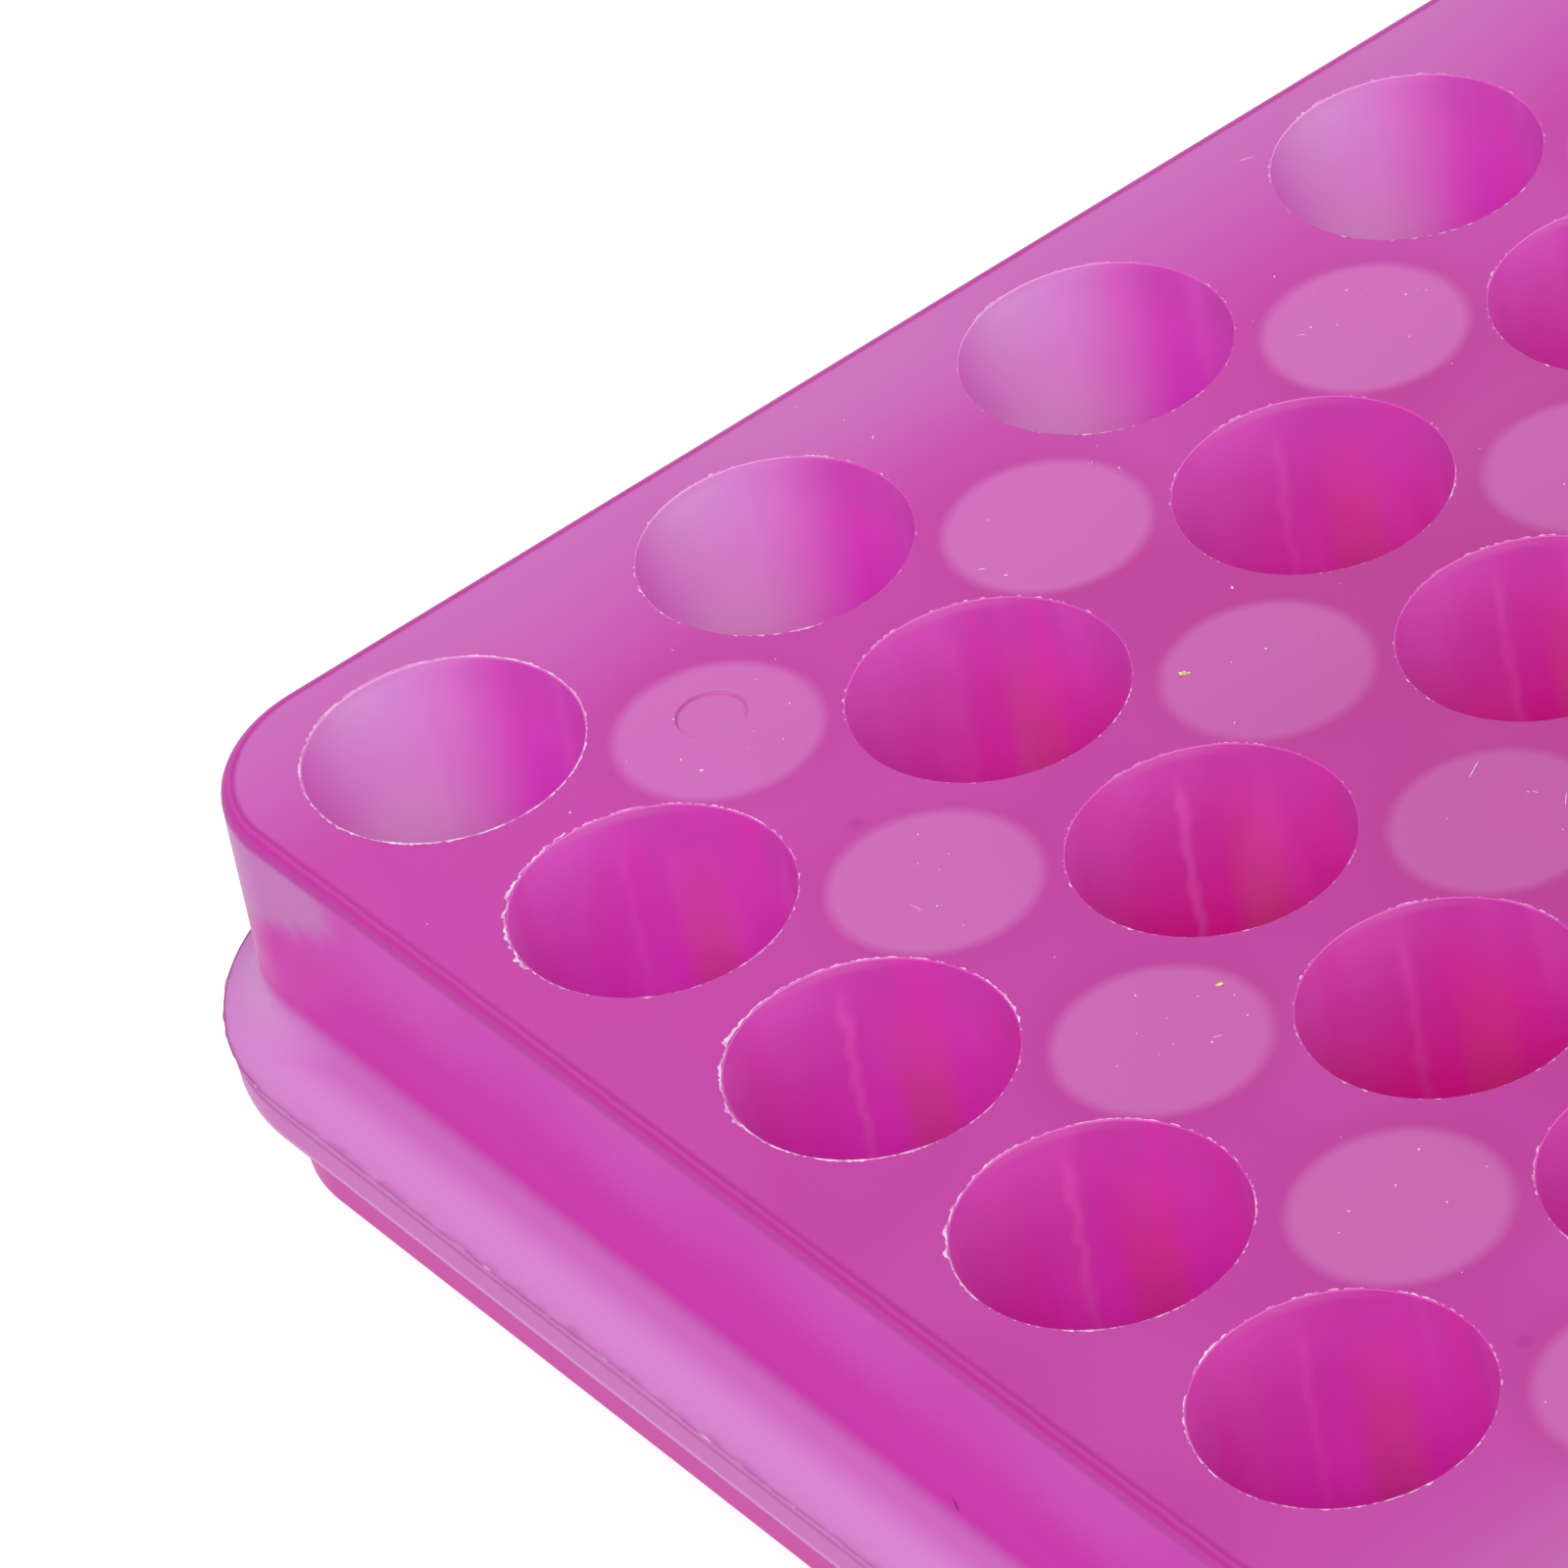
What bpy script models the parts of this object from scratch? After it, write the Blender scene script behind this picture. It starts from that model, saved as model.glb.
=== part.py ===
"""Reversible centrifuge tube rack, moulded as one block of translucent polypropylene.

Wide wells for 1.5 and 2 ml tubes open in the top face. Narrow wells for 0.5 ml tubes
open in the bottom face, each midway between four wide ones, and end under a thin skin
of the top face. Turned over, the block is the same rack for the smaller tubes.
A flange with the mould's parting line runs round the outside.

Metres, +Z up. The origin is on the table, under the middle of the block.
"""

import math

import bmesh
import bpy
from mathutils import Matrix

# The two sets of wells. Columns run along X and rows along Y.
COLUMNS = 6
ROWS = 5
WIDE_WELL_DIAMETER = 0.0114
NARROW_WELL_DIAMETER = 0.008
WELL_DRAFT = math.radians(0.5)
SKIN_THICKNESS = 0.0013

# The plastic left between neighbouring wide wells, and outside the outermost ones.
COLUMN_WEB = 0.0055
ROW_WEB = 0.0024
END_WALL = 0.00295
SIDE_WALL = 0.0023

# The outside, from the table up: lower tier, flange band, cove, upper wall. The flange
# has rounder corners than the walls above and below it.
LOWER_TIER_HEIGHT = 0.0061
BAND_HEIGHT = 0.0022
COVE_HEIGHT = 0.0028
UPPER_WALL_HEIGHT = 0.0086
FLANGE_OVERHANG = 0.00265
BAND_TAPER = 0.00015
WALL_CORNER_RADIUS = 0.0066
FLANGE_CORNER_RADIUS = 0.0106
EDGE_RADIUS = 0.0006
WALL_DRAFT = math.radians(0.5)

# How finely the round parts are divided.
WIDE_WELL_SEGMENTS = 32
NARROW_WELL_SEGMENTS = 24
CORNER_SEGMENTS = 8
EDGE_SEGMENTS = 3
COVE_SEGMENTS = 4

# How far a well's cutter stands out of the face that the well opens in.
CUT_PAST = 0.001

# Moulded polypropylene, a magenta pink that light passes through.
PLASTIC_COLOUR = (0.60, 0.08, 0.44, 1.0)
PLASTIC_ROUGHNESS = 0.34

# The pitches follow from the wide wells and the webs. The block holds half a pitch more
# than the wide wells need each way, for the narrow wells that lie half a pitch on.
COLUMN_PITCH = WIDE_WELL_DIAMETER + COLUMN_WEB
ROW_PITCH = WIDE_WELL_DIAMETER + ROW_WEB
END_MARGIN = WIDE_WELL_DIAMETER / 2 + END_WALL
SIDE_MARGIN = WIDE_WELL_DIAMETER / 2 + SIDE_WALL
LENGTH = (COLUMNS - 0.5) * COLUMN_PITCH + 2 * END_MARGIN
WIDTH = (ROWS - 0.5) * ROW_PITCH + 2 * SIDE_MARGIN
HEIGHT = LOWER_TIER_HEIGHT + BAND_HEIGHT + COVE_HEIGHT + UPPER_WALL_HEIGHT


def clear_scene():
    """Remove every object, so that the script can be run again in an open file."""
    for old in list(bpy.data.objects):
        bpy.data.objects.remove(old, do_unlink=True)


def add_collection(name):
    """Link a new, empty collection to the scene."""
    collection = bpy.data.collections.new(name)
    bpy.context.scene.collection.children.link(collection)
    return collection


def add_object(name, bm, collection):
    """Turn a bmesh into an object in the given collection."""
    bmesh.ops.recalc_face_normals(bm, faces=bm.faces[:])
    mesh = bpy.data.meshes.new(name)
    bm.to_mesh(mesh)
    bm.free()
    item = bpy.data.objects.new(name, mesh)
    collection.objects.link(item)
    return item


def plastic_material():
    """Smooth moulded polypropylene."""
    material = bpy.data.materials.new("pink_polypropylene")
    material.use_nodes = True
    shader = material.node_tree.nodes["Principled BSDF"]
    shader.inputs["Base Color"].default_value = PLASTIC_COLOUR
    shader.inputs["Roughness"].default_value = PLASTIC_ROUGHNESS
    shader.inputs["Metallic"].default_value = 0.0
    return material


def quarter_turn(steps):
    """Angles from just past 0 to 90 degrees, in equal steps."""
    return [math.pi / 2 * (step + 1) / steps for step in range(steps)]


def outside_profile():
    """The block's side, from the table up, as a list of levels.

    A level is how far its outline stands out from the deck's, its height, and the
    radius of its corners.
    """
    wall_foot = UPPER_WALL_HEIGHT * math.tan(WALL_DRAFT)
    tier_top = LOWER_TIER_HEIGHT * math.tan(WALL_DRAFT)
    parting_height = LOWER_TIER_HEIGHT + BAND_HEIGHT
    cove_top = parting_height + COVE_HEIGHT
    levels = [(-EDGE_RADIUS, 0.0, WALL_CORNER_RADIUS - EDGE_RADIUS)]
    for angle in quarter_turn(EDGE_SEGMENTS):
        outset = -EDGE_RADIUS * (1 - math.sin(angle))
        levels.append((outset, EDGE_RADIUS * (1 - math.cos(angle)), WALL_CORNER_RADIUS + outset))
    levels.append((tier_top, LOWER_TIER_HEIGHT, WALL_CORNER_RADIUS + tier_top))
    levels.append((FLANGE_OVERHANG - BAND_TAPER, LOWER_TIER_HEIGHT, FLANGE_CORNER_RADIUS - BAND_TAPER))
    levels.append((FLANGE_OVERHANG, parting_height, FLANGE_CORNER_RADIUS))
    for angle in quarter_turn(COVE_SEGMENTS):
        inward = math.sin(angle)
        outset = FLANGE_OVERHANG + (wall_foot - FLANGE_OVERHANG) * inward
        radius = FLANGE_CORNER_RADIUS + (WALL_CORNER_RADIUS + wall_foot - FLANGE_CORNER_RADIUS) * inward
        levels.append((outset, cove_top - COVE_HEIGHT * math.cos(angle), radius))
    levels.append((0.0, HEIGHT - EDGE_RADIUS, WALL_CORNER_RADIUS))
    for angle in quarter_turn(EDGE_SEGMENTS):
        outset = -EDGE_RADIUS * (1 - math.cos(angle))
        height = HEIGHT - EDGE_RADIUS * (1 - math.sin(angle))
        levels.append((outset, height, WALL_CORNER_RADIUS + outset))
    return levels


def add_outline(bm, outset, height, radius):
    """One level of the block, a flat face with rounded corners. Returns the face."""
    corners = bmesh.ops.create_grid(bm, x_segments=1, y_segments=1, size=0.5)["verts"]
    bmesh.ops.scale(bm, vec=(LENGTH + 2 * outset, WIDTH + 2 * outset, 1.0), verts=corners)
    bmesh.ops.translate(bm, vec=(0.0, 0.0, height), verts=corners)
    rounded = bmesh.ops.bevel(
        bm,
        geom=corners,
        affect="VERTICES",
        offset=radius,
        offset_type="OFFSET",
        segments=CORNER_SEGMENTS,
        profile=0.5,
    )
    return rounded["verts"][0].link_faces[0]


def add_block(collection):
    """The block before its wells: rounded outlines up the side, bridged one to the next."""
    bm = bmesh.new()
    outlines = [add_outline(bm, *level) for level in outside_profile()]
    for lower, upper in zip(outlines, outlines[1:]):
        bmesh.ops.bridge_loops(bm, edges=list(lower.edges) + list(upper.edges))
    bmesh.ops.delete(bm, geom=outlines[1:-1], context="FACES_ONLY")
    return add_object("rack_body", bm, collection)


def well_centres(column_offset, row_offset):
    """Centres of one set of wells, offset in pitches from the first wide well."""
    first_x = -LENGTH / 2 + END_MARGIN
    first_y = WIDTH / 2 - SIDE_MARGIN
    for column in range(COLUMNS):
        for row in range(ROWS):
            x = first_x + (column + column_offset) * COLUMN_PITCH
            y = first_y - (row + row_offset) * ROW_PITCH
            yield x, y


def add_well_cutter(name, centres, mouth_diameter, opens_up, segments, collection):
    """One tapered peg for each well, blind behind the skin of the far face."""
    taper = math.tan(WELL_DRAFT)
    depth = HEIGHT - SKIN_THICKNESS
    mouth_radius = mouth_diameter / 2 + CUT_PAST * taper
    floor_radius = mouth_diameter / 2 - depth * taper
    middle = HEIGHT - (depth - CUT_PAST) / 2 if opens_up else (depth - CUT_PAST) / 2
    bm = bmesh.new()
    for x, y in centres:
        bmesh.ops.create_cone(
            bm,
            cap_ends=True,
            segments=segments,
            radius1=floor_radius if opens_up else mouth_radius,
            radius2=mouth_radius if opens_up else floor_radius,
            depth=depth + CUT_PAST,
            matrix=Matrix.Translation((x, y, middle)),
        )
    cutter = add_object(name, bm, collection)
    cutter.hide_render = True
    cutter.display_type = "WIRE"
    return cutter


def cut_wells(block, cutter):
    """Take the cutter's pegs out of the block."""
    cut = block.modifiers.new(cutter.name, "BOOLEAN")
    cut.operation = "DIFFERENCE"
    cut.solver = "EXACT"
    cut.object = cutter


clear_scene()
rack = add_collection("centrifuge_tube_rack")
cutters = add_collection("cutters")

body = add_block(rack)
body.data.materials.append(plastic_material())
body.data.shade_smooth()
body.data.set_sharp_from_angle(angle=math.radians(30))

wide_wells = add_well_cutter(
    "wide_well_cutter",
    well_centres(0.0, 0.0),
    WIDE_WELL_DIAMETER,
    True,
    WIDE_WELL_SEGMENTS,
    cutters,
)
narrow_wells = add_well_cutter(
    "narrow_well_cutter",
    well_centres(0.5, 0.5),
    NARROW_WELL_DIAMETER,
    False,
    NARROW_WELL_SEGMENTS,
    cutters,
)
cut_wells(body, wide_wells)
cut_wells(body, narrow_wells)
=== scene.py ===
"""A reversible centrifuge tube rack, moulded in one piece of translucent pink polypropylene.

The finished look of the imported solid. Metres, +Z up, the origin on the table under the
middle of the rack.
"""

import math
import random
import types

import bmesh
import bpy
from mathutils import Matrix, Vector, noise


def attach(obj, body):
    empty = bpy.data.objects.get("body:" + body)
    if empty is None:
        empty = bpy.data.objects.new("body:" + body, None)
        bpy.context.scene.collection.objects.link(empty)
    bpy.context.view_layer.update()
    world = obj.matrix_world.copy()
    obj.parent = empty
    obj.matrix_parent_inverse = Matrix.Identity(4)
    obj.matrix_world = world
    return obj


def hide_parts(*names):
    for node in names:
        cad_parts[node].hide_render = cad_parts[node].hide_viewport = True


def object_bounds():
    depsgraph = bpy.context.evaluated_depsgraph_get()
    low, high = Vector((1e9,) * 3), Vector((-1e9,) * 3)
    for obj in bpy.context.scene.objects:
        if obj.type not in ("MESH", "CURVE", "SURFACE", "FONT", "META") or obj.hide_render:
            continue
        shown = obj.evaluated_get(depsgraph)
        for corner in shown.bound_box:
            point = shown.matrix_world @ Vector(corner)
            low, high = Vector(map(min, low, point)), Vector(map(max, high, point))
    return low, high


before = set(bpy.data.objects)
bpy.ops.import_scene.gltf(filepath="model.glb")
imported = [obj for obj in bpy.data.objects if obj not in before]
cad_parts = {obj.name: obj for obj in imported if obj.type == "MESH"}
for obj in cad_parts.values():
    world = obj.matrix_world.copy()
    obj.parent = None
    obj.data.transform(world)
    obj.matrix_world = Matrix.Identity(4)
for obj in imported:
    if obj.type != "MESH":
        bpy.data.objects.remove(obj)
cad_low, cad_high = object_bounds()


# The moulded block.
# One shot of polypropylene between two mould halves that meet at the flange's edge. Pins
# from above leave the wide wells, pins from below the narrow ones, and a skin closes each.
MM = 1000.0
HAIR = 0.00001
COLUMNS = 6
ROWS = 5
COLUMN_PITCH = 0.0169
ROW_PITCH = 0.0138
END_MARGIN = 0.00865
SIDE_MARGIN = 0.008
WIDE_RADIUS = 0.0057
NARROW_RADIUS = 0.004
WELL_DRAFT = math.radians(0.5)
SKIN = 0.0013
RIM_ROUNDING = 0.00007
WIDE_FLOOR_FILLET = 0.0009
NARROW_FLOOR_FILLET = 0.0004
WIDE_WELL_STEPS = 80
NARROW_WELL_STEPS = 56

FLASH_ROOM = 0.00008
SEAM_ROOM = 0.0001
TABLE_LEVEL = cad_low.z
DECK_LEVEL = cad_high.z - FLASH_ROOM
TIER_TOP = 0.0061
PARTING_LEVEL = 0.0083
COVE_TOP = 0.0111
FLANGE_REACH = 0.00265
OVERHANG = FLANGE_REACH - SEAM_ROOM
DECK_LENGTH = cad_high.x - cad_low.x - 2 * FLANGE_REACH
DECK_WIDTH = cad_high.y - cad_low.y - 2 * FLANGE_REACH
FIRST_X = -DECK_LENGTH / 2 + END_MARGIN
FIRST_Y = DECK_WIDTH / 2 - SIDE_MARGIN
WALL_CORNER = 0.0066
FLANGE_CORNER = 0.0106
WALL_DRAFT = math.tan(math.radians(0.5))
DECK_EDGE = 0.0006
SEAM_STEP = 0.00006
BAND_LIP = 0.0006
BAND_EDGE = 0.00015
BAND_INSET = 0.00012
BAND_CORNER = FLANGE_CORNER - 0.00025
TIER_FILLET = ((0.0, 0.0003), (0.0001, 0.00008), (0.0003, 0.0))
BAND_GROOVE = ((0.00004, -0.00012), (-0.00003, -0.00003), (0.00002, 0.00006))
BAND_CREST = (0.00007, 0.00004)
COVE_FOOT = 0.00008
CORNER_STEPS = 24


def quarter(steps):
    """Angles of a quarter turn in equal steps, without its start."""
    return [math.pi / 2 * (step + 1) / steps for step in range(steps)]


def side_levels():
    """The block's side, as outlines from the table up.

    Each is how far it stands out from the deck's outline, its height, its corner radius.
    """
    wall_foot = (DECK_LEVEL - COVE_TOP) * WALL_DRAFT
    tier_head = TIER_TOP * WALL_DRAFT
    levels = [(-DECK_EDGE, TABLE_LEVEL, WALL_CORNER - DECK_EDGE)]
    for angle in quarter(6):
        outset = -DECK_EDGE * (1 - math.sin(angle))
        level = TABLE_LEVEL + DECK_EDGE * (1 - math.cos(angle))
        levels.append((outset, level, WALL_CORNER + outset))
    for out, below in TIER_FILLET:
        levels.append((tier_head + out, TIER_TOP - below, WALL_CORNER + tier_head + out))
    band = OVERHANG - SEAM_STEP - BAND_INSET
    band_foot = TIER_TOP + HAIR
    levels.append((band - BAND_EDGE, band_foot, BAND_CORNER - BAND_EDGE))
    for angle in quarter(4):
        outset = band - BAND_EDGE * (1 - math.sin(angle))
        level = band_foot + BAND_EDGE * (1 - math.cos(angle))
        levels.append((outset, level, BAND_CORNER + outset - band))
    lip = PARTING_LEVEL - BAND_LIP
    for out, up in BAND_GROOVE:
        levels.append((band + out, lip + up, BAND_CORNER))
    levels.append((band + BAND_CREST[0], PARTING_LEVEL - BAND_CREST[1], BAND_CORNER))
    levels.append((OVERHANG - SEAM_STEP, PARTING_LEVEL - HAIR, FLANGE_CORNER - SEAM_STEP))
    levels.append((OVERHANG - HAIR, PARTING_LEVEL + HAIR, FLANGE_CORNER))
    levels.append((OVERHANG, PARTING_LEVEL + SEAM_STEP, FLANGE_CORNER))
    reach = COVE_TOP - PARTING_LEVEL - COVE_FOOT
    for angle in quarter(16):
        inward = math.sin(angle)
        outset = OVERHANG + (wall_foot - OVERHANG) * inward
        radius = FLANGE_CORNER + (WALL_CORNER + wall_foot - FLANGE_CORNER) * inward
        levels.append((outset, COVE_TOP - reach * math.cos(angle), radius))
    levels.append((0.0, DECK_LEVEL - DECK_EDGE, WALL_CORNER))
    for angle in quarter(8):
        outset = -DECK_EDGE * (1 - math.cos(angle))
        level = DECK_LEVEL - DECK_EDGE * (1 - math.sin(angle))
        levels.append((outset, level, WALL_CORNER + outset))
    return levels


def add_outline(bm, outset, level, corner, steps=CORNER_STEPS):
    """A flat face with rounded corners, outset from the deck's outline. Returns the face."""
    corners = bmesh.ops.create_grid(bm, x_segments=1, y_segments=1, size=0.5)["verts"]
    size = (DECK_LENGTH + 2 * outset, DECK_WIDTH + 2 * outset, 1.0)
    bmesh.ops.scale(bm, vec=size, verts=corners)
    bmesh.ops.translate(bm, vec=(0.0, 0.0, level), verts=corners)
    rounded = bmesh.ops.bevel(
        bm,
        geom=corners,
        affect="VERTICES",
        offset=corner,
        offset_type="OFFSET",
        segments=steps,
        profile=0.5,
        material=-1,
    )
    return rounded["verts"][0].link_faces[0]


def mesh_object(name, bm):
    """A new object whose faces all point outwards."""
    bmesh.ops.recalc_face_normals(bm, faces=bm.faces[:])
    mesh = bpy.data.meshes.new(name)
    bm.to_mesh(mesh)
    bm.free()
    item = bpy.data.objects.new(name, mesh)
    bpy.context.scene.collection.objects.link(item)
    return item


def well_centres(column_shift, row_shift):
    """Centres of one set of wells, shifted in pitches from the first wide well."""
    for column in range(COLUMNS):
        for row in range(ROWS):
            x = FIRST_X + (column + column_shift) * COLUMN_PITCH
            y = FIRST_Y - (row + row_shift) * ROW_PITCH
            yield x, y


def well_profile(mouth_radius, depth, fillet):
    """Half the outline of a well, from its rounded rim at height 0 down to its middle."""
    taper = math.tan(WELL_DRAFT)
    foot_radius = mouth_radius - depth * taper
    points = [(mouth_radius + RIM_ROUNDING, 0.0)]
    for angle in quarter(3):
        out = RIM_ROUNDING * (1 - math.sin(angle))
        points.append((mouth_radius + out, -RIM_ROUNDING * (1 - math.cos(angle))))
    for share in (0.25, 0.5, 0.75):
        points.append((mouth_radius - depth * share * taper, -depth * share))
    points.append((foot_radius, -depth + fillet))
    for angle in quarter(5):
        reach = fillet * (1 - math.cos(angle))
        points.append((foot_radius - reach, -depth + fillet * (1 - math.sin(angle))))
    points.append((0.0, -depth))
    return points


def edges_of(verts):
    """Every edge at any of the vertices, each once, in the mesh's own order."""
    return list(dict.fromkeys(edge for vert in verts for edge in vert.link_edges))


def faces_of(verts):
    """Every face at any of the vertices, each once, in the mesh's own order."""
    return list(dict.fromkeys(face for vert in verts for face in vert.link_faces))


def sink_wells(bm, points, steps, places):
    """Spin a well's outline about its axis, and set a copy of it in each place."""
    before = set(bm.verts)
    chain = [bm.verts.new((radius, 0.0, level)) for radius, level in points]
    edges = [bm.edges.new(pair) for pair in zip(chain, chain[1:])]
    bmesh.ops.spin(
        bm,
        geom=chain + edges,
        cent=(0.0, 0.0, 0.0),
        axis=(0.0, 0.0, 1.0),
        angle=2 * math.pi,
        steps=steps,
        use_merge=True,
    )
    fresh = [vert for vert in bm.verts if vert not in before]
    bmesh.ops.remove_doubles(bm, verts=fresh, dist=HAIR / 20)
    fresh = [vert for vert in bm.verts if vert not in before]
    pattern = fresh + edges_of(fresh) + faces_of(fresh)
    for place in places:
        copy = bmesh.ops.duplicate(bm, geom=pattern)["geom"]
        moved = [part for part in copy if isinstance(part, bmesh.types.BMVert)]
        bmesh.ops.transform(bm, matrix=place, verts=moved)
    bmesh.ops.delete(bm, geom=fresh, context="VERTS")


def close_level(bm, level):
    """Fill the flat face between all the open edges that lie at one height."""
    open_edges = [
        edge
        for edge in bm.edges
        if edge.is_boundary and all(abs(vert.co.z - level) < HAIR / 10 for vert in edge.verts)
    ]
    bmesh.ops.triangle_fill(bm, use_beauty=True, edges=open_edges, normal=(0.0, 0.0, 1.0))


block = bmesh.new()
outlines = [add_outline(block, *level) for level in side_levels()]
for lower, upper in zip(outlines, outlines[1:]):
    bmesh.ops.bridge_loops(block, edges=list(lower.edges) + list(upper.edges))
bmesh.ops.delete(block, geom=outlines, context="FACES_ONLY")

sink_wells(
    block,
    well_profile(WIDE_RADIUS, DECK_LEVEL - SKIN, WIDE_FLOOR_FILLET),
    WIDE_WELL_STEPS,
    [Matrix.Translation((x, y, DECK_LEVEL)) for x, y in well_centres(0.0, 0.0)],
)
upside_down = Matrix.Rotation(math.pi, 4, "X")
sink_wells(
    block,
    well_profile(NARROW_RADIUS, cad_high.z - SKIN, NARROW_FLOOR_FILLET),
    NARROW_WELL_STEPS,
    [Matrix.Translation((x, y, TABLE_LEVEL)) @ upside_down for x, y in well_centres(0.5, 0.5)],
)

# The gate's vestige: a tilted, very shallow round recess where the runner was broken off.
GATE_X = FIRST_X + 0.0085
GATE_Y = FIRST_Y - 0.0066
GATE_RADIUS = 0.00145
GATE_DEPTH = 0.00009
GATE_TAPER = 0.96
GATE_STEPS = 72
rim = bmesh.ops.create_circle(block, cap_ends=False, segments=GATE_STEPS, radius=GATE_RADIUS)
rim = rim["verts"]
rim_edges = edges_of(rim)
inner = bmesh.ops.extrude_edge_only(block, edges=rim_edges)["geom"]
inner = [part for part in inner if isinstance(part, bmesh.types.BMVert)]
bmesh.ops.scale(block, vec=(GATE_TAPER, GATE_TAPER, 1.0), verts=inner)
for vert in inner:
    vert.co.z = -GATE_DEPTH * (0.5 + 0.5 * vert.co.y / GATE_RADIUS) ** 0.7
inner_edges = [edge for edge in edges_of(inner) if edge.is_boundary]
for edge in rim_edges + inner_edges:
    edge.smooth = False
bmesh.ops.triangle_fill(block, use_beauty=True, edges=inner_edges)
bmesh.ops.translate(block, vec=(GATE_X, GATE_Y, DECK_LEVEL), verts=rim + inner)

close_level(block, DECK_LEVEL)
close_level(block, TABLE_LEVEL)
block = mesh_object("moulded_block", block)
block.data.shade_smooth()
evened = block.modifiers.new("evened_shading", "WEIGHTED_NORMAL")
evened.mode = "FACE_AREA"
evened.weight = 100
evened.keep_sharp = True
evaluated = block.evaluated_get(bpy.context.evaluated_depsgraph_get())
finished = bpy.data.meshes.new_from_object(evaluated)
block.modifiers.clear()
block.data = finished


class Field:
    """A shader socket that can stand in a sum. Each operator adds its Math node."""

    def __init__(self, tree, socket=None):
        self.tree = tree
        self.socket = socket

    def node(self, kind, inputs, output=0, **settings):
        """Any node: its settings first, then the values or links of its sockets."""
        made = self.tree.nodes.new("ShaderNode" + kind)
        for name, value in settings.items():
            setattr(made, name, value)
        for name, value in inputs.items():
            if isinstance(value, Field):
                self.tree.links.new(value.socket, made.inputs[name])
            else:
                made.inputs[name].default_value = value
        return Field(self.tree, made.outputs[output])

    def math(self, operation, *others):
        """One Math node, with this field as its first value."""
        return self.node("Math", dict(enumerate((self, *others))), operation=operation)

    def __add__(self, other):
        return self.math("ADD", other)

    def __radd__(self, other):
        return self.math("ADD", other)

    def __sub__(self, other):
        return self.math("SUBTRACT", other)

    def __rsub__(self, other):
        return self.node("Math", {0: other, 1: self}, operation="SUBTRACT")

    def __mul__(self, other):
        return self.math("MULTIPLY", other)

    def __rmul__(self, other):
        return self.math("MULTIPLY", other)

    def __truediv__(self, other):
        return self.math("DIVIDE", other)

    def __abs__(self):
        return self.math("ABSOLUTE")

    def reach(self, other):
        """The length of the line whose two sides are this field and another."""
        return (self * self + other * other).math("SQRT")

    def smooth(self, start, end):
        """0 at start and 1 at end, easing at both. Start may be the larger."""
        ends = {"Value": self, "From Min": start, "From Max": end}
        return self.node("MapRange", ends, interpolation_type="SMOOTHSTEP")

    def ramp(self, start, end):
        """0 at start and 1 at end, in a straight line."""
        return self.node("MapRange", {"Value": self, "From Min": start, "From Max": end})

    def nearest(self, count):
        """The nearest whole number from 0 up to one less than the count."""
        return self.math("ROUND").math("MAXIMUM", 0.0).math("MINIMUM", count - 1.0)

    def bump_at(self, middle, half_width):
        """1 at the middle value, easing to 0 half a width away on either side."""
        return abs(self - middle).smooth(half_width, 0.0)

    def tint(self, below, above):
        """The colour below where this mask is 0, the colour above where it is 1."""
        return self.node("Mix", {0: self, 6: below, 7: above}, 2, data_type="RGBA")

    def shade(self, colour, strongest):
        """The colour, multiplied by the strongest shade where this mask is 1."""
        values = {0: self, 6: colour, 7: strongest}
        return self.node("Mix", values, 2, data_type="RGBA", blend_type="MULTIPLY")


def new_material(name, roughness, gloss=0.3):
    """A material with its shader, and a Field to start its sums from."""
    material = bpy.data.materials.new(name)
    material.use_nodes = True
    shader = material.node_tree.nodes["Principled BSDF"]
    shader.inputs["Roughness"].default_value = roughness
    shader.inputs["IOR"].default_value = 1.49
    shader.inputs["Specular IOR Level"].default_value = gloss
    return material, shader, Field(material.node_tree)


CLOUD_SCALE = 90.0
GRAIN_SCALE = 900.0


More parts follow.
